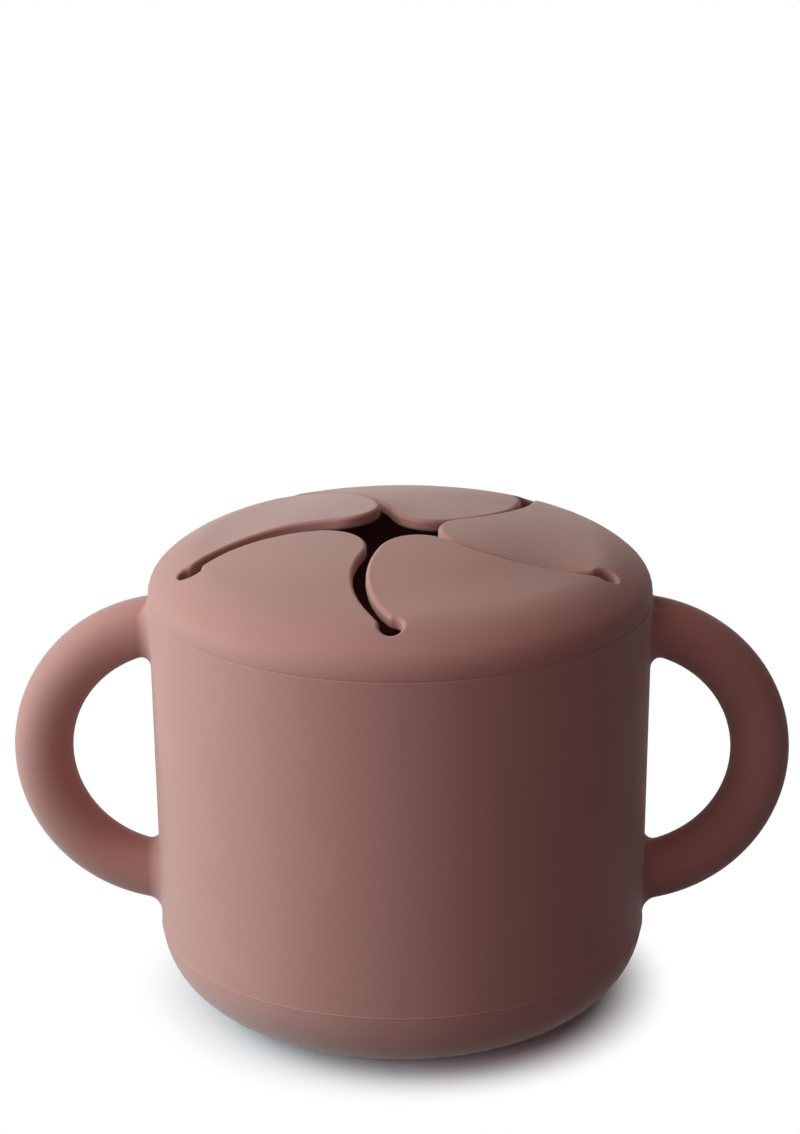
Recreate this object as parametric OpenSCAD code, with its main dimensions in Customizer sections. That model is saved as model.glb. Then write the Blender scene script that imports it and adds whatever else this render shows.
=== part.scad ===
// Snack cup with two loop handles and a domed lid with five curved flaps.
// Millimetres. The origin is the centre of the base, +Z is up, the handles lie along X.

/* [Cup] */
// Outer diameter of the cup at its rim
cup_d = 90; // [84:1:96]
// Height of the rim, where the lid sits
rim_z = 76.3; // [70:0.1:84]
// Draft of the cup wall in degrees, wider at the rim
draft = 0.8; // [0.4:0.1:1.5]
// Thickness of the cup wall and floor
wall = 2.6; // [2.2:0.1:3]
// Radius of the bottom corner where it meets the wall
side_arc_r = 13.8; // [13:0.1:15]
// Radius of the bottom corner where it meets the base
base_arc_r = 16.7; // [16:0.1:18]
// Angle below level at which the two corner arcs meet
arc_split = 39.5; // [35:0.5:45]
// Radius of the shallow recess under the base
recess_r = 21; // [15:1:24]
// Depth of the recess under the base
recess_depth = 0.6; // [0.3:0.1:1]
// Chamfer inside the rim that leads the lid in
rim_chamfer = 0.6; // [0.3:0.1:1]

/* [Handles] */
// Distance of each handle ring's centre from the cup's axis
handle_x = 40.7; // [39:0.1:42]
// Height of each handle ring's centre
handle_z = 46.3; // [44:0.1:48]
// Radius of the handle's centreline
handle_ring_r = 24.2; // [22:0.1:25]
// Radius of the handle's round section
handle_tube_r = 5.3; // [4.5:0.1:5.6]
// Angle that the handle turns above and below level before it ends inside the wall line
handle_reach = 85; // [84:0.5:86]

/* [Lid] */
// Thickness of the lid and its flaps
lid_t = 2.3; // [2:0.1:2.6]
// Height of the upright edge above the rim
lid_side_h = 0.8; // [0.5:0.1:1.5]
// Radius of the lid's outer corner
corner_r = 5.1; // [4.5:0.1:6]
// Angle that the outer corner turns
corner_turn = 46.8; // [44:0.1:48]
// Radius of the lid's shoulder
shoulder_r = 17.1; // [16:0.1:19]
// Angle that the shoulder turns
shoulder_turn = 31.8; // [31:0.1:33]
// Depth of the plug that enters the cup
plug_h = 8; // [6:0.5:12]
// Thickness of the plug
plug_t = 1.8; // [1.4:0.1:2]
// Gap between the plug and the cup's mouth
plug_gap = 0.3; // [0.2:0.05:0.5]
// Height of the seal bead on the plug
bead_proud = 0.22; // [0.1:0.02:0.25]

/* [Slits and flaps] */
// Direction of the first slit, in degrees from +X
first_slit = 196.8; // [180:0.1:240]
// Distance of each flap's hinge line from the axis
hinge_d = 31; // [30:0.1:32]
// Radius of the round hole at the outer end of each slit
hole_r = 2; // [1.5:0.1:2.5]
// Width of the slits
slit_w = 2.2; // [1:0.1:2.6]
// Radius of the slits' curve
slit_arc_r = 27; // [26:0.1:30]
// How far each slit bows away from a straight line
slit_bow = 6.2; // [5.5:0.1:6.5]
// Radius of the flaps' tips
tip_r = 7; // [5:0.1:8]
// Radius of the flap's rounded root, about its hinge line
root_r = 1.6; // [1.5:0.05:1.8]
// Gap between the flap's root and the lid
root_gap = 0.3; // [0.2:0.05:0.4]
// How far each flap's tip stands up at rest, in degrees
flap_tilt = [-0.5, 2.5, -0.5, -2.5, 3.5];

/* [Hidden] */
$fn = 144;

// Largest step along a drawn arc, in degrees, and the number of steps across the lid's cap.
arc_step = 4;
cap_steps = 6;

silicone = [0.60, 0.44, 0.41];
silicone_lid = [0.64, 0.48, 0.44];
cup_r = cup_d / 2;
slit_step = 72;
half_step = slit_step / 2;

// The cup's corner arcs, found from the rim downwards.
wall_start_z = base_arc_r - (base_arc_r - side_arc_r) * sin(arc_split) - side_arc_r * sin(draft);
wall_start_r = cup_r - (rim_z - wall_start_z) * tan(draft);
side_centre = [wall_start_r - side_arc_r * cos(draft), wall_start_z + side_arc_r * sin(draft)];
base_centre = side_centre - (base_arc_r - side_arc_r) * dir(-arc_split);

// The lid's arcs, found from its edge inwards. The cap's centre lies on the axis.
corner_centre = [cup_r - corner_r, rim_z + lid_side_h];
shoulder_centre = corner_centre - (shoulder_r - corner_r) * dir(corner_turn);
cap_start = corner_turn + shoulder_turn;
cap_edge = shoulder_centre + shoulder_r * dir(cap_start);
cap_r = cap_edge.x / cos(cap_start);
cap_centre = [0, cap_edge.y - cap_r * sin(cap_start)];

// The plug enters the cup's mouth.
plug_r = cup_r - wall - plug_gap;
plug_low = rim_z - plug_h;
bead_r = 1;
bead_z = rim_z - plug_h / 2;

// The hinge line runs through the lid's thickness, a little low at the flap's middle.
hinge_z = cap_centre.y + sqrt(pow(cap_r, 2) - pow(hinge_d, 2)) - lid_t + 0.25;
window_d = hinge_d + root_r + root_gap;
hole_circle_r = (window_d - hole_r) / cos(half_step);
root_w = 40.6;
flap_from = 60;
bowed_from = -80;
hollow_to = -5;

// Slit curve in the flap's own frame, where the hinge line crosses +X.
slit_half_chord = sqrt(2 * slit_arc_r * slit_bow - pow(slit_bow, 2));
slit_centre = [hole_circle_r - slit_half_chord, slit_arc_r - slit_bow];
outer_curve = turned(slit_centre, -half_step);
inner_curve = turned(slit_centre, half_step);
outer_curve_r = slit_arc_r - slit_w / 2;
inner_curve_r = slit_arc_r + slit_w / 2;
tip_centre = meeting(outer_curve, outer_curve_r - tip_r, inner_curve, inner_curve_r + tip_r);

function dir(a) = [cos(a), sin(a)];
function turned(p, a) = [p.x * cos(a) - p.y * sin(a), p.x * sin(a) + p.y * cos(a)];
function heading(v) = atan2(v.y, v.x);

// The point at distance r1 from c1 and r2 from c2 that lies nearer the axis.
function meeting(c1, r1, c2, r2) =
    let (
        span = norm(c2 - c1),
        along = (pow(r1, 2) - pow(r2, 2) + pow(span, 2)) / (2 * span),
        across = sqrt(pow(r1, 2) - pow(along, 2)),
        u = (c2 - c1) / span,
        side = [-u.y, u.x],
        p = c1 + along * u + across * side,
        q = c1 + along * u - across * side
    )
    norm(p) < norm(q) ? p : q;

// Points along an arc, a step of 4 degrees or less apart.
function arc(centre, r, from, to) =
    let (steps = ceil(abs(to - from) / arc_step))
    [for (i = [0:steps]) centre + r * dir(from + (to - from) * i / steps)];

function backwards(points) = [for (i = [len(points) - 1:-1:0]) points[i]];

// Bottom corner and wall of the cup, from the base up to the rim, moved inwards by inset.
function cup_line(inset) = concat(
    arc(base_centre, base_arc_r - inset, -90, -arc_split),
    arc(side_centre, side_arc_r - inset, -arc_split, -draft)
);

// Dome of the lid from the direction given on its shoulder up to the axis, moved inwards by inset.
function dome_line(inset, shoulder_from) = concat(
    arc(shoulder_centre, shoulder_r - inset, shoulder_from, cap_start),
    [for (i = [1:cap_steps])
        cap_centre + (cap_r - inset) * dir(cap_start + (90 - cap_start) * i / cap_steps)]
);

module cup_body() {
    mouth_r = cup_r - wall;
    color(silicone)
        rotate_extrude()
            polygon(concat(
                [[0, recess_depth], [recess_r, recess_depth], [recess_r, 0]],
                cup_line(0),
                [
                    [cup_r, rim_z],
                    [mouth_r + rim_chamfer, rim_z],
                    [mouth_r, rim_z - rim_chamfer]
                ],
                backwards(cup_line(wall)),
                [[0, wall]]
            ));
}

// The handle is a bent round bar whose ends follow the cup's wall.
module handle() {
    color(silicone)
        difference() {
            translate([handle_x, 0, handle_z])
                rotate([90, 0, 0])
                    rotate_extrude(angle = 2 * handle_reach, start = -handle_reach)
                        translate([handle_ring_r, 0])
                            circle(handle_tube_r);
            rotate_extrude()
                polygon(concat([[0, 0]], cup_line(0), [[cup_r, rim_z], [0, rim_z]]));
        }
}

// Opening that the five flaps fill, with a round corner at the end of each slit.
module window() {
    rotate(first_slit)
        offset(r = hole_r)
            circle(r = hole_circle_r, $fn = 5);
}

// Half section of the whole lid before its opening is cut: edge, dome, plug and seal bead.
module lid_section() {
    plug_in_r = plug_r - plug_t;
    plug_from = acos((plug_in_r - shoulder_centre.x) / (shoulder_r - lid_t));
    bead_turn = acos((bead_r - bead_proud) / bead_r);
    polygon(concat(
        [[cup_r, rim_z]],
        arc(corner_centre, corner_r, 0, corner_turn),
        dome_line(0, corner_turn),
        backwards(dome_line(lid_t, plug_from)),
        [[plug_in_r, plug_low], [plug_r, plug_low]],
        arc([plug_r + bead_proud - bead_r, bead_z], bead_r, -bead_turn, bead_turn),
        [[plug_r, rim_z]]
    ));
}

module lid_ring() {
    color(silicone_lid)
        difference() {
            rotate_extrude()
                lid_section();
            translate([0, 0, rim_z])
                linear_extrude(height = 30)
                    window($fn = 48);
        }
}

// Plan of one flap: a curved claw with one bowed and one hollow edge.
module flap_plan() {
    bowed_end = heading(tip_centre - outer_curve);
    hollow_start = heading(tip_centre - inner_curve);
    difference() {
        polygon(concat(
            arc(outer_curve, outer_curve_r, bowed_from, bowed_end),
            arc(tip_centre, tip_r, bowed_end, hollow_start - 180),
            arc(inner_curve, inner_curve_r, hollow_start, hollow_to)
        ));
        for (side = [-1, 1])
            translate(hole_circle_r * dir(side * half_step))
                circle(hole_r);
    }
}

// The flap is cut from the same dome as the lid. Its root is rounded about the hinge line.
module flap_blade() {
    intersection() {
        rotate_extrude()
            polygon(concat(dome_line(0, flap_from), backwards(dome_line(lid_t, flap_from))));
        linear_extrude(height = 100)
            flap_plan();
        union() {
            translate([0, -40, rim_z])
                cube([hinge_d, 80, 20]);
            translate([hinge_d, 0, hinge_z])
                rotate([90, 0, 0])
                    cylinder(r = root_r, h = root_w, center = true);
        }
    }
}

// Flap number index, counted anticlockwise from the first slit.
module flap(index) {
    color(silicone_lid)
        rotate([0, 0, first_slit + slit_step * (index + 0.5)])
            translate([hinge_d, 0, hinge_z])
                rotate([0, flap_tilt[index], 0])
                    translate([-hinge_d, 0, -hinge_z])
                        flap_blade();
}

cup_body();
mirror([1, 0, 0]) handle();  // left_handle
handle();  // right_handle
lid_ring();
flap(0);  // flap_front_left
flap(1);  // flap_front_right
flap(2);  // flap_right
flap(3);  // flap_back
flap(4);  // flap_left
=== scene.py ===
"""Looks of a silicone snack cup: a cup with two loop handles and a lid with five soft flaps.

Lengths are in millimetres, as in the CAD source, until an object is made. The lamps' distances
and sizes, the floor's half width and the camera's clip range are in metres from the start.
"""

import math

import bpy
import numpy as np
from mathutils import Matrix
from mathutils.geometry import delaunay_2d_cdt


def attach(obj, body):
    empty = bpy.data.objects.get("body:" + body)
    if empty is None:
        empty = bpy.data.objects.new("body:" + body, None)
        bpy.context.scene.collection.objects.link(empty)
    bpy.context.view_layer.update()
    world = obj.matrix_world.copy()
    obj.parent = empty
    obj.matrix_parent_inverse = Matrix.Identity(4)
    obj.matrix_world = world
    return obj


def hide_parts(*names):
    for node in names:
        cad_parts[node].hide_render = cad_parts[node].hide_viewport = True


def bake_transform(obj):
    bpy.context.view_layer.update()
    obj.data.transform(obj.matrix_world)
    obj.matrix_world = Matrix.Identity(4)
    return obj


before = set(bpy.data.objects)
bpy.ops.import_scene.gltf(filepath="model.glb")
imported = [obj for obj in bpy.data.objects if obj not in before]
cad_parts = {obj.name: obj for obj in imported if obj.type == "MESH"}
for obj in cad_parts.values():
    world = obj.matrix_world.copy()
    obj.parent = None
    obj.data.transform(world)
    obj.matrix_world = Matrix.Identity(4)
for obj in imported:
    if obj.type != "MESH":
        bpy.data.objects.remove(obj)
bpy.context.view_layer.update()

MM = 0.001

# Cup
CUP_R = 45.0
RIM_Z = 76.3
DRAFT = 0.8
WALL = 2.6
SIDE_ARC_R = 13.8
BASE_ARC_R = 16.7
ARC_SPLIT = 39.5
RECESS_R = 21.0
RECESS_DEPTH = 0.6
RECESS_ROUND = 0.25
RIM_CHAMFER = 0.6
RIM_BEVEL_W = 0.22
RIM_BEVEL_H = 0.3
BEVEL_LOW_ROUND = 0.15
BEVEL_TOP_ROUND = 0.04
CHAMFER_TOP_ROUND = 0.4
CHAMFER_LOW_ROUND = 0.5
PARTING_TURN = -4.4
PARTING_PROUD = 0.13
PARTING_HALF_W = 0.22
PARTING_ROUND = 0.1

# Handles
HANDLE_X = 40.7
HANDLE_Z = 46.3
HANDLE_RING_R = 24.2
HANDLE_TUBE_R = 5.3
ROOT_FILLET = 2.4
ROOT_TOP_LIMIT = RIM_Z - 0.6
ROOT_LOW_LIMIT = 15.0

# A root's fillet shrinks where a limit above leaves less room. The power blends the two sizes,
# and the least values keep the room that is left above zero. QUARTER_ARC is the length of handle,
# for a radius of 1, with which a Bezier curve follows a quarter of a circle.
FILLET_POWER = 6
ROOM_LEAST = 0.2
LEAN_LEAST = 0.05
QUARTER_ARC = 0.552

# Angles round the ring between which each root is sought by halving, and the bar's rough turn
# and step between the roots.
ROOT_TURN_LOW = 50.0
ROOT_TURN_HIGH = 89.0
HALVINGS = 40
BAR_TURN = 160.0
BAR_STEP = 0.95

# The window in the wall that each handle's root fills: spare columns, and gaps to the foot.
WINDOW_COLUMNS = 1.2
WINDOW_BELOW = 0.25
WINDOW_ABOVE = 0.1
FOOT_CLEAR = 0.5

# Lid
LID_T = 2.3
LID_SIDE_H = 0.8
CORNER_R = 5.1
CORNER_TURN = 46.8
SHOULDER_R = 17.1
SHOULDER_TURN = 31.8
PLUG_H = 8.0
PLUG_T = 1.8
PLUG_GAP = 0.3
BEAD_R = 1.0
BEAD_PROUD = 0.22
SEAM_GAP = 0.02
SEAM_TURN = -8.6
SEAM_ROUND = 0.05
SEAM_SKIP = 2.0
PLUG_ROUND = 0.5
NOOK_ROUND = 0.2
JOIN_ROUND = 0.001

# Flaps at rest, in the order of FLAPS: how far each tip is raised and how far the hollow and the
# bowed edge are raised beside it, in degrees, and how far the bowed edge sags, in millimetres.
FLAPS = ["flap_front_left", "flap_front_right", "flap_right", "flap_back", "flap_left"]
FLAP_TILT = [0.1, 3.5, 1.0, -0.6, 3.2]
HOLLOW_LIFT = [-0.6, 1.6, 0.8, 1.0, 2.2]
BOWED_LIFT = [0.6, -2.4, -1.0, -2.2, 0.0]
BOWED_SAG = [0.0, 0.0, 0.65, 0.0, 0.0]
FLAP_TIP_R = [9.0, 7.6, 7.0, 7.0, 7.0]

# Slits, their holes and the flaps' round edges. A flap's frame has +X outwards across its hinge.
FIRST_SLIT = 196.8
SLIT_STEP = 72.0
HALF_STEP = SLIT_STEP / 2
HINGE_D = 31.0
HINGE_ABOVE = 0.25
ROOT_R = 1.6
ROOT_GAP = 0.3
HOLE_R = 2.0
SLIT_W = 2.2
SLIT_ARC_R = 27.0
SLIT_BOW = 6.2
NECK_ROUND = 1.2
NECK_INWARDS = 0.8
BOWED_ROUND = 0.8
HOLLOW_ROUND = 0.7
HOLE_ROUND = 0.8
UNDER_ROUND = 0.65
UNDER_START = 0.3
UNDER_BLEND = 2.0
SHARP_ROUND = 0.05
ROUND_BLEND = 8.0
HOLE_ROUND_LENGTH = 3.0
HOLE_BLEND = 5.0
EDGE_ROWS = 6

# Where a flap joins the rim, and the distances from the axis along +X over which it bends
# at rest, between REST_START_D and REST_END_D.
FLAP_OUT_TOP_R = 41.4
FLAP_OUT_LOW_R = CUP_R - WALL - PLUG_GAP - PLUG_T
REST_START_D = 33.4
REST_END_D = 19.5
MIDDLE_W = 4.0
SAG_SPAN = 26.0
SAG_EDGE = 14.0

# Points closer than TOUCH are one point, and those nearer to the axis than ON_AXIS lie on it.
TOUCH = 1e-4
ON_AXIS = 1e-6

# Mesh density
COLUMNS = 240
COLUMN_TURN = 360 / COLUMNS
ROW_STEP = 1.2
RING_STEP = 0.9
EDGE_STEP = 0.55
FILL_STEP = 0.85
TUBE_SIDES = 64
FILLET_ROWS = 8
FILL_MARGIN = FILL_STEP * 0.55

# The fewest steps of each arc in a flap's outline. Its round changes from the bowed edge's to the
# hollow edge's about a point that lies TIP_BACK points before the end of the tip's arc.
ARC_STEPS = 12
NECK_STEPS = 5
TIP_STEPS = 16
TIP_BACK = 8


def direction(angle):
    """Unit vectors at angles in degrees."""
    a = np.radians(angle)
    return np.stack([np.cos(a), np.sin(a)], -1)


def turned(vectors, angle):
    """Vectors with their first two components turned by an angle in degrees."""
    v = np.array(vectors, float)
    c, s = direction(angle)
    x, y = v[..., 0].copy(), v[..., 1].copy()
    v[..., 0], v[..., 1] = x * c - y * s, x * s + y * c
    return v


def unit(v):
    """Vectors scaled to a length of 1."""
    v = np.asarray(v, float)
    return v / np.linalg.norm(v, axis=-1, keepdims=True)


def heading(v):
    """Angle of a flat vector in degrees."""
    return math.degrees(math.atan2(v[1], v[0]))


def smoothstep(t):
    """A smooth rise from 0 to 1 as t goes from 0 to 1."""
    t = np.clip(t, 0, 1)
    return t * t * (3 - 2 * t)


def around_axis(pairs, ring):
    """Distances and heights turned about the axis, at the directions in ring."""
    z = np.broadcast_to(pairs[:, None, 1:], (len(pairs), len(ring), 1))
    return np.concatenate([pairs[:, None, :1] * ring, z], -1)


def meeting(centre_a, radius_a, centre_b, radius_b, near):
    """The point at those distances from the two centres that lies nearer to a given point."""
    gap = centre_b - centre_a
    span = np.linalg.norm(gap)
    along = (radius_a**2 - radius_b**2 + span**2) / (2 * span)
    across = math.sqrt(radius_a**2 - along**2)
    u = gap / span
    side = np.array([-u[1], u[0]])
    both = [centre_a + along * u + k * across * side for k in (1, -1)]
    return min(both, key=lambda p: np.linalg.norm(p - near))


class Line:
    """A drawn line: points, and unit normals on the right-hand side of its travel."""

    def __init__(self, step):
        self.step = step
        self.points, self.normals = [], []

    def add(self, point, normal):
        if not self.points or np.linalg.norm(self.points[-1] - point) > TOUCH:
            self.points.append(np.array(point, float))
            self.normals.append(np.array(normal, float))

    def arc(self, centre, radius, start, end, least=2):
        """An arc, anticlockwise if end is the larger angle."""
        length = abs(math.radians(end - start)) * radius
        side = 1 if end > start else -1
        for a in np.linspace(start, end, max(least, math.ceil(length / self.step)) + 1):
            self.add(centre + radius * direction(a), side * direction(a))

    def straight(self, end):
        """A straight line from the last point."""
        start = self.points[-1]
        length = np.linalg.norm(end - start)
        if length < TOUCH:
            return
        d = (end - start) / length
        steps = max(1, round(length / self.step))
        for t in np.linspace(0, 1, steps + 1)[1:]:
            self.add(start + (end - start) * t, (d[1], -d[0]))


def arc(centre, radius, start, end):
    """An arc of a section, between two angles in degrees."""
    return {"centre": np.array(centre), "radius": radius, "turn": (start, end)}


def corner(x, z, radius):
    """A corner of a section, rounded by a radius."""
    return {"point": np.array([x, z], float), "round": radius}


def end_point(item, last):
    """The point where a section's item starts, or where it ends if last is 1."""
    if "point" in item:
        return item["point"]
    return item["centre"] + item["radius"] * direction(item["turn"][last])


def section(items, closed, step=ROW_STEP):
    """Half section of a turned solid, with the solid on the left, from arcs and rounded corners.

    Consecutive items are joined by straight lines. Returns its points and outward normals.
    """
    line = Line(step)
    count = len(items)
    for i, item in enumerate(items):
        if "point" not in item:
            if line.points:
                line.straight(end_point(item, 0))
            line.arc(item["centre"], item["radius"], *item["turn"])
            continue
        p = item["point"]
        if not closed and i in (0, count - 1):
            if i == 0:
                d = unit(end_point(items[1], 0) - p)
                line.add(p, (d[1], -d[0]))
            else:
                line.straight(p)
            continue
        back = unit(end_point(items[i - 1], 1) - p)
        ahead = unit(end_point(items[(i + 1) % count], 0) - p)
        half = math.acos(np.clip(back @ ahead, -1, 1)) / 2
        reach = item["round"] / math.tan(half)
        centre = p + unit(back + ahead) * item["round"] / math.sin(half)
        start = heading(p + back * reach - centre)
        end = heading(p + ahead * reach - centre)
        end = start + (end - start + 180) % 360 - 180
        if line.points:
            line.straight(p + back * reach)
        line.arc(centre, item["round"], start, end, least=4)
    if closed:
        line.straight(line.points[0])
        line.points.pop()
        line.normals.pop()
    return np.array(line.points), np.array(line.normals)


class Build:
    """Vertices with their normals, and faces, gathered for one mesh."""

    def __init__(self):
        self.points, self.normals, self.faces = [], [], []
        self.count = 0

    def add(self, points, normals):
        """Adds vertices, and returns their numbers in the same arrangement."""
        shape = points.shape[:-1]
        self.points.append(np.reshape(points, (-1, 3)))
        self.normals.append(np.reshape(np.broadcast_to(normals, points.shape), (-1, 3)))
        size = int(np.prod(shape))
        numbers = np.arange(self.count, self.count + size).reshape(shape)
        self.count += size
        return numbers

    def quads(self, numbers, skip=None):
        """Quads over rows and columns of vertex numbers."""
        low, high = numbers[:-1], numbers[1:]
        cells = np.stack([low[:, :-1], low[:, 1:], high[:, 1:], high[:, :-1]], -1)
        if skip is not None:
            cells = cells[~skip]
        self.faces.extend(cells.reshape(-1, 4).tolist())

    def around(self, numbers, skip=None):
        """Quads over rows whose columns close on themselves."""
        self.quads(np.concatenate([numbers, numbers[:, :1]], 1), skip)

    def mesh(self, name):
        """The finished mesh object, in metres, with smooth faces and its own normals."""
        points = np.concatenate(self.points)
        normals = np.concatenate(self.normals)
        used = np.zeros(self.count, bool)
        for face in self.faces:
            used[face] = True
        renumber = np.cumsum(used) - 1
        faces = [[int(renumber[v]) for v in face] for face in self.faces]
        data = bpy.data.meshes.new(name)
        data.from_pydata((points[used] * MM).tolist(), [], faces)
        data.validate()
        data.polygons.foreach_set("use_smooth", [True] * len(data.polygons))
        data.normals_split_custom_set_from_vertices(unit(normals[used]).tolist())
        data.update()
        obj = bpy.data.objects.new(name, data)
        bpy.context.scene.collection.objects.link(obj)
        return obj


def inside(points, outline):
    """Which points lie inside a closed outline."""
    x, y = points[:, 0][:, None], points[:, 1][:, None]
    a, b = outline, np.roll(outline, -1, 0)
    crosses = (a[:, 1] > y) != (b[:, 1] > y)
    rise = np.where(b[:, 1] == a[:, 1], 1e-12, b[:, 1] - a[:, 1])
    at = a[:, 0] + (y - a[:, 1]) * (b[:, 0] - a[:, 0]) / rise
    return (crosses & (x < at)).sum(1) % 2 == 1


def clearance(points, outline):
    """Distance of each point from a closed outline."""
    a, b = outline, np.roll(outline, -1, 0)
    w = b - a
    t = ((points[:, None] - a) * w).sum(-1) / np.maximum((w**2).sum(1), 1e-12)
    near = a + np.clip(t, 0, 1)[..., None] * w
    return np.linalg.norm(points[:, None] - near, axis=-1).min(1)


def triangles(outer, holes, inner):
    """Triangles over a flat region.

    Numbers run over the outline, then the holes, then the inner points.
    """
    loops = [outer, *holes]
    points = np.concatenate([*loops, inner])
    edges, start = [], 0
    for loop in loops:
        n = len(loop)
        edges += [(start + i, start + (i + 1) % n) for i in range(n)]
        start += n
    found = delaunay_2d_cdt([tuple(p) for p in points.tolist()], edges, [], 0, 1e-7)
    origin = [min(sources) for sources in found[3]]
    faces = np.array([[origin[v] for v in face] for face in found[2]])
    middle = points[faces].mean(1)
    keep = inside(middle, outer)
    for hole in holes:
        keep &= ~inside(middle, hole)
    return faces[keep]


def hexagon_points(outline, step, margin):
    """Evenly spaced points inside an outline, away from its edge."""
    low, high = outline.min(0), outline.max(0)
    rows = np.arange(low[1], high[1], step * math.sqrt(3) / 2)
    points = []
    for i, y in enumerate(rows):
        x = np.arange(low[0] + (i % 2) * step / 2, high[0], step)
        points.append(np.stack([x, np.full(len(x), y)], -1))
    points = np.concatenate(points)
    points = points[inside(points, outline)]
    return points[clearance(points, outline) > margin]


# The cup's corner arcs, found from the rim downwards.
SLOPE = math.tan(math.radians(DRAFT))
wall_low_z = (
    BASE_ARC_R
    - (BASE_ARC_R - SIDE_ARC_R) * math.sin(math.radians(ARC_SPLIT))
    - SIDE_ARC_R * math.sin(math.radians(DRAFT))
)


def wall_r(z):
    """Outer radius of the cup's straight wall."""
    return CUP_R - (RIM_Z - z) * SLOPE


side_centre = np.array([wall_r(wall_low_z), wall_low_z]) - SIDE_ARC_R * direction(-DRAFT)
base_centre = side_centre - (BASE_ARC_R - SIDE_ARC_R) * direction(-ARC_SPLIT)

# The lid's arcs, found from its edge inwards. The cap's centre lies on the axis.
corner_centre = np.array([CUP_R - CORNER_R, RIM_Z + LID_SIDE_H])
shoulder_centre = corner_centre - (SHOULDER_R - CORNER_R) * direction(CORNER_TURN)
cap_start = CORNER_TURN + SHOULDER_TURN
cap_edge = shoulder_centre + SHOULDER_R * direction(cap_start)
CAP_R = cap_edge[0] / math.cos(math.radians(cap_start))
cap_centre = np.array([0, cap_edge[1] - CAP_R * math.sin(math.radians(cap_start))])
HINGE_Z = cap_centre[1] + math.sqrt(CAP_R**2 - HINGE_D**2) - LID_T + HINGE_ABOVE
WINDOW_D = HINGE_D + ROOT_R + ROOT_GAP
HOLE_CIRCLE_R = (WINDOW_D - HOLE_R) / math.cos(math.radians(HALF_STEP))


def dome(r, inset):
    """Height of the dome at a distance from the axis, and its slope, moved inwards by inset."""
    on_cap = r < (CAP_R - inset) * math.cos(math.radians(cap_start))
    x = np.where(on_cap, r, r - shoulder_centre[0])
    radius = np.where(on_cap, CAP_R - inset, SHOULDER_R - inset)
    base = np.where(on_cap, cap_centre[1], shoulder_centre[1])
    up = np.sqrt(radius**2 - x**2)
    return base + up, -x / up


# --- Cup -------------------------------------------------------------------------------------


def cup_section():
    """The whole cup's section, from the middle of the base round the rim to the middle of the floor."""
    mouth_r = CUP_R - WALL
    half_turn = math.degrees(PARTING_HALF_W / SIDE_ARC_R)
    low, high = PARTING_TURN - half_turn, PARTING_TURN + half_turn
    gap = half_turn / 2
    bevel_z = RIM_Z - RIM_BEVEL_H

    def on_side(turn, proud=0.0):
        return side_centre + (SIDE_ARC_R + proud) * direction(turn)

    return section(
        [
            corner(0, RECESS_DEPTH, 0),
            corner(RECESS_R, RECESS_DEPTH, RECESS_ROUND),
            corner(RECESS_R, 0, RECESS_ROUND),
            arc(base_centre, BASE_ARC_R, -90, -ARC_SPLIT),
            arc(side_centre, SIDE_ARC_R, -ARC_SPLIT, low - gap),
            corner(*on_side(low), PARTING_ROUND),
            corner(*on_side(PARTING_TURN, PARTING_PROUD), PARTING_ROUND),
            corner(*on_side(high), PARTING_ROUND),
            arc(side_centre, SIDE_ARC_R, high + gap, -DRAFT),
            corner(wall_r(bevel_z), bevel_z, BEVEL_LOW_ROUND),
            corner(CUP_R - RIM_BEVEL_W, RIM_Z, BEVEL_TOP_ROUND),
            corner(mouth_r + RIM_CHAMFER, RIM_Z, CHAMFER_TOP_ROUND),
            corner(mouth_r, RIM_Z - RIM_CHAMFER, CHAMFER_LOW_ROUND),
            arc(side_centre, SIDE_ARC_R - WALL, -DRAFT, -ARC_SPLIT),
            arc(base_centre, BASE_ARC_R - WALL, -ARC_SPLIT, -90),
            corner(0, WALL, 0),
        ],
        closed=False,
    )


def turn_round(build, points, normals, angles, skip=None):
    """Turns a section about the axis. A point on the axis becomes one vertex."""
    ring = direction(angles)
    numbers = build.add(around_axis(points, ring), around_axis(normals, ring))
    body = numbers
    if points[0, 0] < ON_AXIS:
        body = numbers[1:]
        pole = int(numbers[0, 0])
        first = numbers[1]
        build.faces += [[pole, int(b), int(a)] for a, b in zip(first, np.roll(first, -1))]
    if points[-1, 0] < ON_AXIS:
        body = body[:-1]
        pole = int(numbers[-1, 0])
        last = numbers[-2]
        build.faces += [[int(a), int(b), pole] for a, b in zip(last, np.roll(last, -1))]
    build.around(body, skip)
    return numbers


def tube_point(turn, side):
    """Points of the right handle's bar, at angles round its ring and round its section."""
    out = HANDLE_RING_R + HANDLE_TUBE_R * np.cos(np.radians(side))
    ring = direction(turn)
    y = HANDLE_TUBE_R * np.sin(np.radians(side)) + 0 * ring[..., 0]
    return np.stack([HANDLE_X + out * ring[..., 0], y, HANDLE_Z + out * ring[..., 1]], -1)


def tube_normal(turn, side):
    """Normals of the right handle's bar at the same angles."""
    ring = direction(turn)
    c, s = np.cos(np.radians(side)), np.sin(np.radians(side))
    return np.stack([c * ring[..., 0], s + 0 * ring[..., 0], c * ring[..., 1]], -1)


def root_turn(side, end):
    """Angle round the handle's ring at which each line along its bar meets the wall."""
    low, high = np.full(len(side), ROOT_TURN_LOW), np.full(len(side), ROOT_TURN_HIGH)
    for _ in range(HALVINGS):
        middle = (low + high) / 2
        p = tube_point(end * middle, side)
        outside = np.hypot(p[:, 0], p[:, 1]) > wall_r(p[:, 2])
        low, high = np.where(outside, middle, low), np.where(outside, high, middle)
    return end * low


def on_wall(flat):
    """Wall points from distances round and up the wall, laid out flat at the mean radius."""
    angle = np.degrees(flat[..., 0] / CUP_R)
    r = wall_r(flat[..., 1])
    return np.concatenate([r[..., None] * direction(angle), flat[..., 1:]], -1)


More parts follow.
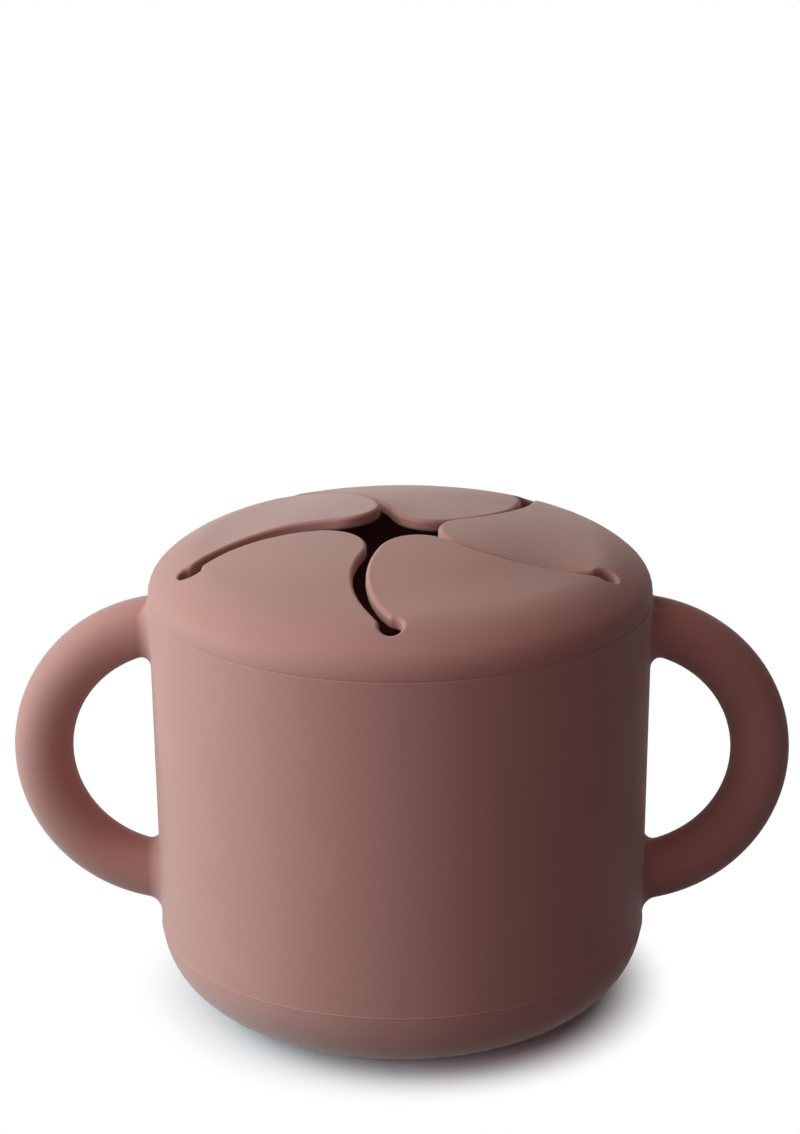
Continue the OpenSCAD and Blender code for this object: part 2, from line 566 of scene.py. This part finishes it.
def wall_normal(points):
    """Normals of the cup's straight wall."""
    d = unit(points[..., :2]) * math.cos(math.radians(DRAFT))
    up = np.full((*points.shape[:-1], 1), -math.sin(math.radians(DRAFT)))
    return np.concatenate([d, up], -1)


def handle_root(side, end):
    """One root of the right handle: the fillet's foot laid out flat, and rows from it to the bar."""
    turn = root_turn(side, end)
    met = tube_point(turn, side)
    flat = np.stack([np.arctan2(met[:, 1], met[:, 0]) * CUP_R, met[:, 2]], -1)
    along = np.roll(flat, -1, 0) - np.roll(flat, 1, 0)
    away = unit(np.stack([along[:, 1], -along[:, 0]], -1))
    away *= np.sign(((flat - flat.mean(0)) * away).sum(-1, keepdims=True))
    room = ROOT_TOP_LIMIT - flat[:, 1] if end > 0 else flat[:, 1] - ROOT_LOW_LIMIT
    room = np.maximum(room, ROOM_LEAST) / np.maximum(end * away[:, 1], LEAN_LEAST)
    fillet = (ROOT_FILLET**-FILLET_POWER + room**-FILLET_POWER) ** (-1 / FILLET_POWER)
    foot = flat + away * fillet[:, None]
    out = HANDLE_RING_R + HANDLE_TUBE_R * np.cos(np.radians(side))
    bar_turn = turn - end * np.degrees(fillet / out)
    low = on_wall(foot)
    high = tube_point(bar_turn, side)
    nearby = 0.01
    pull = (fillet * QUARTER_ARC)[:, None]
    low_handle = low + unit(on_wall(foot - away * nearby) - low) * pull
    high_handle = high + unit(tube_point(bar_turn + end * nearby, side) - high) * pull
    t = np.linspace(0, 1, FILLET_ROWS + 1)[:, None, None]
    rows = (1 - t) ** 3 * low + 3 * t * (1 - t) ** 2 * low_handle
    rows = rows + 3 * t**2 * (1 - t) * high_handle + t**3 * high
    return foot, bar_turn, rows


def surface_normals(rows):
    """Normals of a grid of points whose columns close on themselves."""
    across = np.roll(rows, -1, 1) - np.roll(rows, 1, 1)
    along = np.gradient(rows, axis=0)
    return unit(np.cross(across, along))


def right_handle():
    """Rows of points and normals of the right handle from its lower foot to its upper, and both feet."""
    side = np.arange(TUBE_SIDES) * 360 / TUBE_SIDES
    low_foot, low_turn, low_rows = handle_root(side, -1)
    high_foot, high_turn, high_rows = handle_root(side, 1)
    steps = round(math.radians(BAR_TURN) * HANDLE_RING_R / BAR_STEP)
    t = np.linspace(0, 1, steps + 1)[:, None]
    turn = low_turn + (high_turn - low_turn) * t
    bar = tube_point(turn, side)
    rows = np.concatenate([low_rows[:-1], bar, high_rows[::-1][1:]])
    normals = surface_normals(rows)
    normals[FILLET_ROWS : FILLET_ROWS + steps + 1] = tube_normal(turn, side)
    normals[0], normals[-1] = wall_normal(rows[0]), wall_normal(rows[-1])
    return rows, normals, [low_foot, high_foot]


def make_cup():
    """The cup moulding: one closed mesh whose handles flow out of the wall in fillets."""
    points, normals = cup_section()
    angles = np.arange(COLUMNS) * COLUMN_TURN
    on_line = np.abs(points[:, 0] - wall_r(points[:, 1])) < TOUCH
    faces_out = normals[:, 0] > 0.9
    straight = np.where(on_line & faces_out)[0]
    rows, row_normals, feet = right_handle()
    build = Build()
    skip = np.zeros((len(points) - 3, COLUMNS), bool)
    windows = []
    for foot in feet:
        reach = math.ceil(np.degrees(np.abs(foot[:, 0]).max() / CUP_R) / COLUMN_TURN + WINDOW_COLUMNS)
        low = straight[points[straight, 1] < foot[:, 1].min() - WINDOW_BELOW].max()
        high = straight[points[straight, 1] > foot[:, 1].max() + WINDOW_ABOVE].min()
        windows.append((foot, reach, low, high))
        for half in (0, COLUMNS // 2):
            columns = np.arange(-reach, reach) + half
            skip[low - 1 : high - 1, columns % COLUMNS] = True
    numbers = turn_round(build, points, normals, angles, skip)
    for half in (0, 1):
        turn = 180 * half
        grid = build.add(turned(rows, turn), turned(row_normals, turn))
        build.around(grid)
        for (foot, reach, low, high), ring in zip(windows, (grid[0], grid[-1])):
            columns = np.arange(-reach, reach + 1)
            box = numbers[low : high + 1][:, (columns + half * COLUMNS // 2) % COLUMNS]
            x = np.radians(columns * COLUMN_TURN) * CUP_R
            z = points[low : high + 1, 1]
            flat = np.stack(np.meshgrid(x, z), -1)
            edge = np.concatenate([flat[0, :-1], flat[:-1, -1], flat[-1, :0:-1], flat[:0:-1, 0]])
            edge_numbers = np.concatenate([box[0, :-1], box[:-1, -1], box[-1, :0:-1], box[:0:-1, 0]])
            middle, middle_numbers = flat[1:-1, 1:-1].reshape(-1, 2), box[1:-1, 1:-1].ravel()
            free = ~inside(middle, foot) & (clearance(middle, foot) > FOOT_CLEAR)
            order = np.concatenate([edge_numbers, ring, middle_numbers[free]])
            build.faces += order[triangles(edge, [foot], middle[free])].tolist()
    return build.mesh("cup")


# --- Lid -------------------------------------------------------------------------------------


def ring_section():
    """Section of the lid outside its flaps: dome edge, corner, plug and seal bead."""
    plug_r = CUP_R - WALL - PLUG_GAP
    plug_low = RIM_Z - PLUG_H
    bead_turn = math.degrees(math.acos((BEAD_R - BEAD_PROUD) / BEAD_R))
    bead_centre = (plug_r + BEAD_PROUD - BEAD_R, RIM_Z - PLUG_H / 2)
    low_z = float(dome(np.array([FLAP_OUT_LOW_R]), LID_T)[0][0])
    top_turn = math.degrees(math.acos((FLAP_OUT_TOP_R - shoulder_centre[0]) / SHOULDER_R))
    under_z = RIM_Z + SEAM_GAP
    seam = (corner_centre[0] + CORNER_R * math.cos(math.radians(SEAM_TURN)), under_z)
    return section(
        [
            corner(FLAP_OUT_LOW_R, low_z, JOIN_ROUND),
            corner(plug_r - PLUG_T, plug_low, PLUG_ROUND),
            corner(plug_r, plug_low, PLUG_ROUND),
            arc(bead_centre, BEAD_R, -bead_turn, bead_turn),
            corner(plug_r, under_z, NOOK_ROUND),
            corner(*seam, SEAM_ROUND),
            arc(corner_centre, CORNER_R, SEAM_TURN + SEAM_SKIP, CORNER_TURN),
            arc(shoulder_centre, SHOULDER_R, CORNER_TURN, top_turn),
        ],
        closed=True,
        step=RING_STEP,
    )


def make_ring():
    """The lid's rim: one closed ring that the flaps join."""
    build = Build()
    points, normals = ring_section()
    ring = direction(FIRST_SLIT + np.arange(COLUMNS) * COLUMN_TURN)
    numbers = build.add(around_axis(points, ring), around_axis(normals, ring))
    build.around(np.concatenate([numbers, numbers[:1]]))
    return build.mesh("lid_rim")


def flap_outline(tip_r):
    """One flap's free edge in its own frame, where +X runs outwards across the hinge line.

    It runs from the hole at its start, along the bowed edge, round the tip and back along the
    hollow edge to the hole at its end. Normals point into the flap. The last result is the
    radius of the round top edge at each point.
    """
    half_chord = math.sqrt(2 * SLIT_ARC_R * SLIT_BOW - SLIT_BOW**2)
    centre = np.array([HOLE_CIRCLE_R - half_chord, SLIT_ARC_R - SLIT_BOW])
    bowed, hollow = turned(centre, -HALF_STEP), turned(centre, HALF_STEP)
    bowed_r, hollow_r = SLIT_ARC_R - SLIT_W / 2, SLIT_ARC_R + SLIT_W / 2
    first, last = HOLE_CIRCLE_R * direction(-HALF_STEP), HOLE_CIRCLE_R * direction(HALF_STEP)
    tip = meeting(bowed, bowed_r - tip_r, hollow, hollow_r + tip_r, np.zeros(2))
    neck_reach = HOLE_R + NECK_ROUND
    neck_a = meeting(bowed, bowed_r - NECK_ROUND, first, neck_reach, first * NECK_INWARDS)
    neck_b = meeting(hollow, hollow_r + NECK_ROUND, last, neck_reach, last * NECK_INWARDS)

    def turn_to(start, end, way):
        """The end angle, a whole number of turns on, so that the arc runs the given way."""
        return start + way * ((end - start) * way % 360)

    line = Line(EDGE_STEP)

    def sweep(centre, radius, start, end, way, least):
        line.arc(centre, radius, start, turn_to(start, end, way), least)

    sweep(first, HOLE_R, -HALF_STEP, heading(neck_a - first), 1, ARC_STEPS)
    sweep(neck_a, NECK_ROUND, heading(first - neck_a), heading(neck_a - bowed), -1, NECK_STEPS)
    sweep(bowed, bowed_r, heading(neck_a - bowed), heading(tip - bowed), -1, ARC_STEPS)
    sweep(tip, tip_r, heading(tip - bowed), heading(hollow - tip), -1, TIP_STEPS)
    turning = len(line.points) - TIP_BACK
    sweep(hollow, hollow_r, heading(tip - hollow), heading(neck_b - hollow), 1, ARC_STEPS)
    sweep(neck_b, NECK_ROUND, heading(hollow - neck_b), heading(last - neck_b), -1, NECK_STEPS)
    sweep(last, HOLE_R, heading(neck_b - last), HALF_STEP, 1, ARC_STEPS)
    points = np.array(line.points)
    length = np.append(0, np.cumsum(np.linalg.norm(np.diff(points, axis=0), axis=1)))
    side = smoothstep((length - length[turning]) / ROUND_BLEND + 0.5)
    round_r = BOWED_ROUND + (HOLLOW_ROUND - BOWED_ROUND) * side
    away = smoothstep((np.minimum(length, length[-1] - length) - HOLE_ROUND_LENGTH) / HOLE_BLEND)
    return points, np.array(line.normals), HOLE_ROUND + (round_r - HOLE_ROUND) * away


def bent(points, normals, tilt, hollow_lift, bowed_lift, bowed_sag):
    """Points and normals of a flap at rest.

    Its tip is raised by a tilt about the hinge line, and its two edges by lifts about its
    middle line, all in degrees. The middle of its bowed edge then sags by some millimetres.
    """
    d = points[:, 0]
    span = REST_START_D - REST_END_D
    t = np.clip((REST_START_D - d) / span, 0, 1)
    angle = math.radians(tilt) * smoothstep(t)
    rate = math.radians(tilt) * 6 * t * (1 - t) / -span
    x, z = d - HINGE_D, points[:, 2] - HINGE_Z
    c, s = np.cos(angle), np.sin(angle)
    moved = np.stack([HINGE_D + x * c + z * s, points[:, 1], HINGE_Z - x * s + z * c], -1)
    slope_x = c + (-x * s + z * c) * rate
    slope_z = -s + (-x * c - z * s) * rate
    wide = slope_x * c - s * slope_z
    out = np.stack(
        [
            (c * normals[:, 0] - slope_z * normals[:, 2]) / wide,
            normals[:, 1],
            (-s * normals[:, 0] + slope_x * normals[:, 2]) / wide,
        ],
        -1,
    )
    across = points[:, 1]
    side = np.hypot(across, MIDDLE_W)
    hollow, bowed = math.radians(hollow_lift) / 2, math.radians(bowed_lift) / 2
    lift = hollow * (side + across) + bowed * (side - across)
    lean = hollow * (1 + across / side) - bowed * (1 - across / side)
    moved[:, 2] += lift * smoothstep(t)
    out[:, 0] -= lift * 6 * t * (1 - t) / -span * out[:, 2]
    out[:, 1] -= lean * smoothstep(t) * out[:, 2]
    u = np.clip((REST_START_D - d) / SAG_SPAN, 0, 1)
    edge = np.clip(-across / SAG_EDGE, 0, None)
    hump = bowed_sag * 16 * (u * (1 - u)) ** 2
    moved[:, 2] -= hump * edge**2
    out[:, 0] -= bowed_sag * 32 * u * (1 - u) * (1 - 2 * u) / SAG_SPAN * edge**2 * out[:, 2]
    out[:, 1] -= hump * 2 * edge / SAG_EDGE * out[:, 2]
    return moved, out


def make_flap(index):
    """One soft flap with the lid's own thickness and round edges, joined to the lid's rim."""
    build = Build()
    outline, outline_normals, edge_round = flap_outline(FLAP_TIP_R[index])
    room = FLAP_OUT_LOW_R - np.linalg.norm(outline, axis=1)
    under = SHARP_ROUND + (UNDER_ROUND - SHARP_ROUND) * smoothstep((room - UNDER_START) / UNDER_BLEND)
    edges, edge_normals = [], []
    into = outline_normals
    beside = np.stack([-into[:, 1], into[:, 0]], -1)

    def edge_row(round_r, phi, inset, sign):
        """One row along the free edge, at an angle round its top (sign 1) or under edge (-1)."""
        shift = round_r * (1 - math.cos(phi))
        at = outline + into * np.reshape(shift, (-1, 1))
        r = np.linalg.norm(at, axis=1)
        z, slope = dome(r, inset)
        fall = at / r[:, None] * slope[:, None]
        z = z - sign * round_r * (1 - math.sin(phi))
        by_into, by_beside = (fall * into).sum(1), (fall * beside).sum(1)
        flat = into * -(sign * by_into * math.sin(phi) + math.cos(phi))[:, None]
        flat = flat - beside * (sign * by_beside * math.sin(phi))[:, None]
        edges.append(np.concatenate([at, z[:, None]], 1))
        edge_normals.append(np.concatenate([flat, np.full((len(at), 1), sign * math.sin(phi))], 1))

    for phi in np.radians(np.linspace(90, 0, EDGE_ROWS + 1)):
        edge_row(edge_round, phi, 0.0, 1)
    for phi in np.radians(np.linspace(0, 90, EDGE_ROWS // 2 + 1)):
        edge_row(under, phi, LID_T, -1)
    edges, edge_normals = np.array(edges), np.array(edge_normals)
    middle = (edges[EDGE_ROWS] + edges[EDGE_ROWS + 1]) / 2
    edges = np.insert(edges, EDGE_ROWS + 1, middle, 0)
    edge_normals = np.insert(edge_normals, EDGE_ROWS + 1, edge_normals[EDGE_ROWS], 0)

    arc_turns = np.arange(HALF_STEP, -HALF_STEP - 0.01, -COLUMN_TURN)

    def rim(radius, inset, sign):
        """Points and normals along the arc that joins the lid's rim."""
        at = radius * direction(arc_turns)
        z, slope = dome(np.full(len(at), radius), inset)
        flat = at / radius * slope[:, None]
        return (
            np.concatenate([at, z[:, None]], 1),
            np.concatenate([-sign * flat, np.full((len(at), 1), float(sign))], 1),
        )

    top_rim, low_rim = rim(FLAP_OUT_TOP_R, 0.0, 1), rim(FLAP_OUT_LOW_R, LID_T, -1)

    def plate(edge, border, inset, sign):
        """One face of the flap: its flat outline, its inner points, and those points in space."""
        shape = np.concatenate([edge, border[0]])[:, :2]
        inner = hexagon_points(shape, FILL_STEP, FILL_MARGIN)
        r = np.linalg.norm(inner, axis=1)
        z, slope = dome(r, inset)
        flat = inner / np.maximum(r, 1e-6)[:, None] * slope[:, None]
        return (
            shape,
            inner,
            np.concatenate([inner, z[:, None]], 1),
            np.concatenate([-sign * flat, np.full((len(inner), 1), float(sign))], 1),
        )

    parts = {}

    def place(key, points, normals):
        """Bends a part to its rest shape, turns it to its place on the lid and adds it."""
        flat_points, flat_normals = points.reshape(-1, 3), normals.reshape(-1, 3)
        rest = FLAP_TILT[index], HOLLOW_LIFT[index], BOWED_LIFT[index], BOWED_SAG[index]
        moved, out = bent(flat_points, flat_normals, *rest)
        turn = FIRST_SLIT + SLIT_STEP * (index + 0.5)
        moved, out = turned(moved, turn), turned(out, turn)
        parts[key] = build.add(moved.reshape(points.shape), out.reshape(points.shape))

    top_shape, top_inner, top_points, top_normals = plate(edges[0], top_rim, 0.0, 1)
    low_shape, low_inner, low_points, low_normals = plate(edges[-1], low_rim, LID_T, -1)
    place("edge", edges, edge_normals)
    place("top_rim", *top_rim)
    place("low_rim", *low_rim)
    place("top", top_points, top_normals)
    place("low", low_points, low_normals)
    build.quads(parts["edge"])
    order = np.concatenate([parts["edge"][0], parts["top_rim"], parts["top"]])
    build.faces += order[triangles(top_shape, [], top_inner)].tolist()
    order = np.concatenate([parts["edge"][-1], parts["low_rim"], parts["low"]])
    build.faces += order[triangles(low_shape, [], low_inner)][:, ::-1].tolist()
    build.quads(np.stack([parts["top_rim"], parts["low_rim"]]))
    start = parts["edge"][:, 0].tolist()
    end = parts["edge"][:, -1].tolist()
    build.faces.append([*start, int(parts["low_rim"][-1]), int(parts["top_rim"][-1])])
    build.faces.append([*end[::-1], int(parts["top_rim"][0]), int(parts["low_rim"][0])])
    return build.mesh(FLAPS[index] + "_soft")


# --- Materials -------------------------------------------------------------------------------

ROSE = (0.43, 0.19, 0.17)
SILICONE_IOR = 1.43
SPECULAR_LEVEL = 0.06
SHEEN_WEIGHT = 0.28
SHEEN_ROUGH = 0.6
CLOUD_SCALE = 38
CLOUD_CHANGE = 0.035
GRAIN_SCALE = 2600
GRAIN_CHANGE = 0.025
ROUGH_SCALE = 420
ROUGH_LOW, ROUGH_HIGH = 0.55, 0.65
BUMP_SCALE = 3200
BUMP_STRENGTH = 0.25
BUMP_HEIGHT = 0.04 * MM
NOISE_LOW, NOISE_HIGH = 0.3, 0.7


def silicone(name, colour):
    """Matte silicone: fine moulded grain, faint clouding and a soft bloom at grazing angles."""
    material = bpy.data.materials.new(name)
    material.use_nodes = True
    nodes, links = material.node_tree.nodes, material.node_tree.links
    shader = nodes["Principled BSDF"]
    shader.inputs["IOR"].default_value = SILICONE_IOR
    shader.inputs["Specular IOR Level"].default_value = SPECULAR_LEVEL
    shader.inputs["Sheen Weight"].default_value = SHEEN_WEIGHT
    shader.inputs["Sheen Roughness"].default_value = SHEEN_ROUGH
    place = nodes.new("ShaderNodeTexCoord")

    def noise(scale, detail, rough=0.5):
        node = nodes.new("ShaderNodeTexNoise")
        node.inputs["Scale"].default_value = scale
        node.inputs["Detail"].default_value = detail
        node.inputs["Roughness"].default_value = rough
        links.new(place.outputs["Object"], node.inputs["Vector"])
        return node.outputs["Fac"]

    def spread(value, low, high):
        node = nodes.new("ShaderNodeMapRange")
        node.inputs["From Min"].default_value = NOISE_LOW
        node.inputs["From Max"].default_value = NOISE_HIGH
        node.inputs["To Min"].default_value = low
        node.inputs["To Max"].default_value = high
        links.new(value, node.inputs["Value"])
        return node.outputs["Result"]

    cloud = nodes.new("ShaderNodeMix")
    cloud.data_type = "RGBA"
    cloud.inputs["A"].default_value = (*[c * (1 - CLOUD_CHANGE) for c in colour], 1)
    cloud.inputs["B"].default_value = (*[c * (1 + CLOUD_CHANGE) for c in colour], 1)
    links.new(spread(noise(CLOUD_SCALE, 3), 0, 1), cloud.inputs["Factor"])
    grain = nodes.new("ShaderNodeHueSaturation")
    links.new(cloud.outputs["Result"], grain.inputs["Color"])
    shade = spread(noise(GRAIN_SCALE, 2), 1 - GRAIN_CHANGE, 1 + GRAIN_CHANGE)
    links.new(shade, grain.inputs["Value"])
    links.new(grain.outputs["Color"], shader.inputs["Base Color"])
    links.new(spread(noise(ROUGH_SCALE, 4), ROUGH_LOW, ROUGH_HIGH), shader.inputs["Roughness"])
    bump = nodes.new("ShaderNodeBump")
    bump.inputs["Strength"].default_value = BUMP_STRENGTH
    bump.inputs["Distance"].default_value = BUMP_HEIGHT
    links.new(noise(BUMP_SCALE, 3, 0.6), bump.inputs["Height"])
    links.new(bump.outputs["Normal"], shader.inputs["Normal"])
    return material


# --- Stage -----------------------------------------------------------------------------------

# The camera, from the picture's frame of 800 by 1134 pixels. The target lies on the cup's axis.
FRAME_W, FRAME_H = 800, 1134
FOCAL_PX = 3428.7
TARGET_PX = (401.34, 764.98)
TARGET_Z = 43.0
CAMERA_DISTANCE = 624.4
CAMERA_ELEVATION = 22.35
CAMERA_AZIMUTH = 1.19
CAMERA_ROLL = 0.37
SENSOR_MM = 36
CLIP_NEAR, CLIP_FAR = 0.01, 20

# Softboxes: azimuth and elevation in degrees, distance and size in metres, watts, tint.
LAMPS = {
    "key": (180, 18, 0.9, 0.8, 10.5, (0.68, 1, 0.96)),
    "high": (180, 50, 0.9, 0.8, 3.0, (1, 0.93, 0.8)),
    "front": (245, 25, 0.9, 0.8, 1.27, (1, 0.79, 0.8)),
    "face": (280, 30, 0.9, 0.8, 0.78, (1, 0.7, 0.68)),
    "low": (210, 9, 0.9, 0.5, 2.9, (0.79, 0.94, 1)),
    "top": (0, 80, 0.9, 0.8, 0.52, (1, 0.75, 0.71)),
    "back": (80, 3, 0.9, 0.5, 1.1, (1, 0.85, 0.83)),
}

# The floor's half width in metres, its colour to the light and to the camera, and the two
# distances from the axis between which the camera's shadowed floor fades to white.
FLOOR_HALF = 4.0
FLOOR_GREY = 0.18
FLOOR_SEEN = (1, 0.94, 1)
SHADOW_IN_R = 35.5
SHADOW_OUT_R = 50.5


def make_camera():
    """The picture's camera."""
    data = bpy.data.cameras.new("camera")
    data.sensor_width = SENSOR_MM
    data.lens = FOCAL_PX / FRAME_H * SENSOR_MM
    data.clip_start, data.clip_end = CLIP_NEAR, CLIP_FAR
    camera = bpy.data.objects.new("camera", data)
    bpy.context.scene.collection.objects.link(camera)
    up = math.radians(CAMERA_ELEVATION)
    pan = math.atan((TARGET_PX[0] - FRAME_W / 2) / FOCAL_PX)
    tilt = math.atan((FRAME_H / 2 - TARGET_PX[1]) / FOCAL_PX)
    level = Matrix.Rotation(math.radians(CAMERA_AZIMUTH), 4, "Z")
    back = level @ Matrix.Rotation(-up, 4, "X")
    place = back @ Matrix.Translation((0, -CAMERA_DISTANCE * MM, 0))
    look = Matrix.Rotation(math.pi / 2, 4, "X")
    aim = Matrix.Rotation(-math.radians(CAMERA_ROLL), 4, "Z")
    aim = aim @ Matrix.Rotation(pan, 4, "Y") @ Matrix.Rotation(-tilt, 4, "X")
    camera.matrix_world = Matrix.Translation((0, 0, TARGET_Z * MM)) @ place @ look @ aim
    bpy.context.scene.camera = camera


def make_lamp(name, azimuth, elevation, distance, size, watts, tint):
    """A square softbox aimed at the cup's middle."""
    data = bpy.data.lights.new(name, "AREA")
    data.shape = "SQUARE"
    data.size = size
    data.energy = watts
    data.color = tint
    lamp = bpy.data.objects.new(name, data)
    bpy.context.scene.collection.objects.link(lamp)
    turn = Matrix.Rotation(math.radians(azimuth), 4, "Z")
    turn = turn @ Matrix.Rotation(math.radians(90 - elevation), 4, "Y")
    middle = Matrix.Translation((0, 0, TARGET_Z * MM))
    lamp.matrix_world = middle @ turn @ Matrix.Translation((0, 0, distance))


def light_path(nodes, links):
    """One output that is 1 for camera rays, and one that is 1 for glossy and transmission rays."""
    path = nodes.new("ShaderNodeLightPath")
    either = nodes.new("ShaderNodeMath")
    either.operation = "MAXIMUM"
    links.new(path.outputs["Is Glossy Ray"], either.inputs[0])
    links.new(path.outputs["Is Transmission Ray"], either.inputs[1])
    return path.outputs["Is Camera Ray"], either.outputs["Value"]


def make_floor():
    """A floor that the camera sees as white, but for the shadow close to the cup."""
    data = bpy.data.meshes.new("floor")
    half = FLOOR_HALF
    square = [(-half, -half, 0), (half, -half, 0), (half, half, 0), (-half, half, 0)]
    data.from_pydata(square, [], [(0, 1, 2, 3)])
    floor = bpy.data.objects.new("floor", data)
    bpy.context.scene.collection.objects.link(floor)
    material = bpy.data.materials.new("pale_floor")
    material.use_nodes = True
    material.cycles.emission_sampling = "NONE"
    nodes, links = material.node_tree.nodes, material.node_tree.links
    nodes.clear()
    camera, reflected = light_path(nodes, links)
    grey = nodes.new("ShaderNodeBsdfDiffuse")
    grey.inputs["Color"].default_value = (*[FLOOR_GREY] * 3, 1)
    bright = nodes.new("ShaderNodeBsdfDiffuse")
    bright.inputs["Color"].default_value = (*FLOOR_SEEN, 1)
    white = nodes.new("ShaderNodeEmission")
    white.inputs["Strength"].default_value = 1
    place = nodes.new("ShaderNodeTexCoord")
    distance = nodes.new("ShaderNodeVectorMath")
    distance.operation = "LENGTH"
    links.new(place.outputs["Object"], distance.inputs[0])
    spread = nodes.new("ShaderNodeMapRange")
    spread.interpolation_type = "SMOOTHSTEP"
    spread.inputs["From Min"].default_value = SHADOW_IN_R * MM
    spread.inputs["From Max"].default_value = SHADOW_OUT_R * MM
    links.new(distance.outputs["Value"], spread.inputs["Value"])
    seen = nodes.new("ShaderNodeMixShader")
    links.new(spread.outputs["Result"], seen.inputs[0])
    links.new(bright.outputs[0], seen.inputs[1])
    links.new(white.outputs[0], seen.inputs[2])
    first = nodes.new("ShaderNodeMixShader")
    links.new(reflected, first.inputs[0])
    links.new(grey.outputs[0], first.inputs[1])
    links.new(white.outputs[0], first.inputs[2])
    second = nodes.new("ShaderNodeMixShader")
    links.new(camera, second.inputs[0])
    links.new(first.outputs[0], second.inputs[1])
    links.new(seen.outputs[0], second.inputs[2])
    out = nodes.new("ShaderNodeOutputMaterial")
    links.new(second.outputs[0], out.inputs["Surface"])
    data.materials.append(material)


def make_world():
    """A background that looks white, and that gives no light of its own."""
    world = bpy.data.worlds.new("studio")
    bpy.context.scene.world = world
    world.use_nodes = True
    world.cycles.sampling_method = "NONE"
    nodes, links = world.node_tree.nodes, world.node_tree.links
    camera, reflected = light_path(nodes, links)
    either = nodes.new("ShaderNodeMath")
    either.operation = "MAXIMUM"
    links.new(camera, either.inputs[0])
    links.new(reflected, either.inputs[1])
    links.new(either.outputs["Value"], nodes["Background"].inputs["Strength"])
    nodes["Background"].inputs["Color"].default_value = (1, 1, 1, 1)


def main():
    """Builds the dressed cup, its stage and its light."""
    make_camera()
    rose = silicone("rose_silicone", ROSE)
    cup = make_cup()
    cup.data.materials.append(rose)
    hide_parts("cup_body", "left_handle", "right_handle")
    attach(cup, "cup")
    rim = make_ring()
    rim.data.materials.append(rose)
    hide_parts("lid_ring")
    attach(rim, "lid")
    for index, name in enumerate(FLAPS):
        flap = make_flap(index)
        flap.data.materials.append(rose)
        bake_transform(flap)
        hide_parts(name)
    make_floor()
    make_world()
    for name, settings in LAMPS.items():
        make_lamp(name, *settings)
    bpy.context.scene.view_settings.view_transform = "Standard"


main()
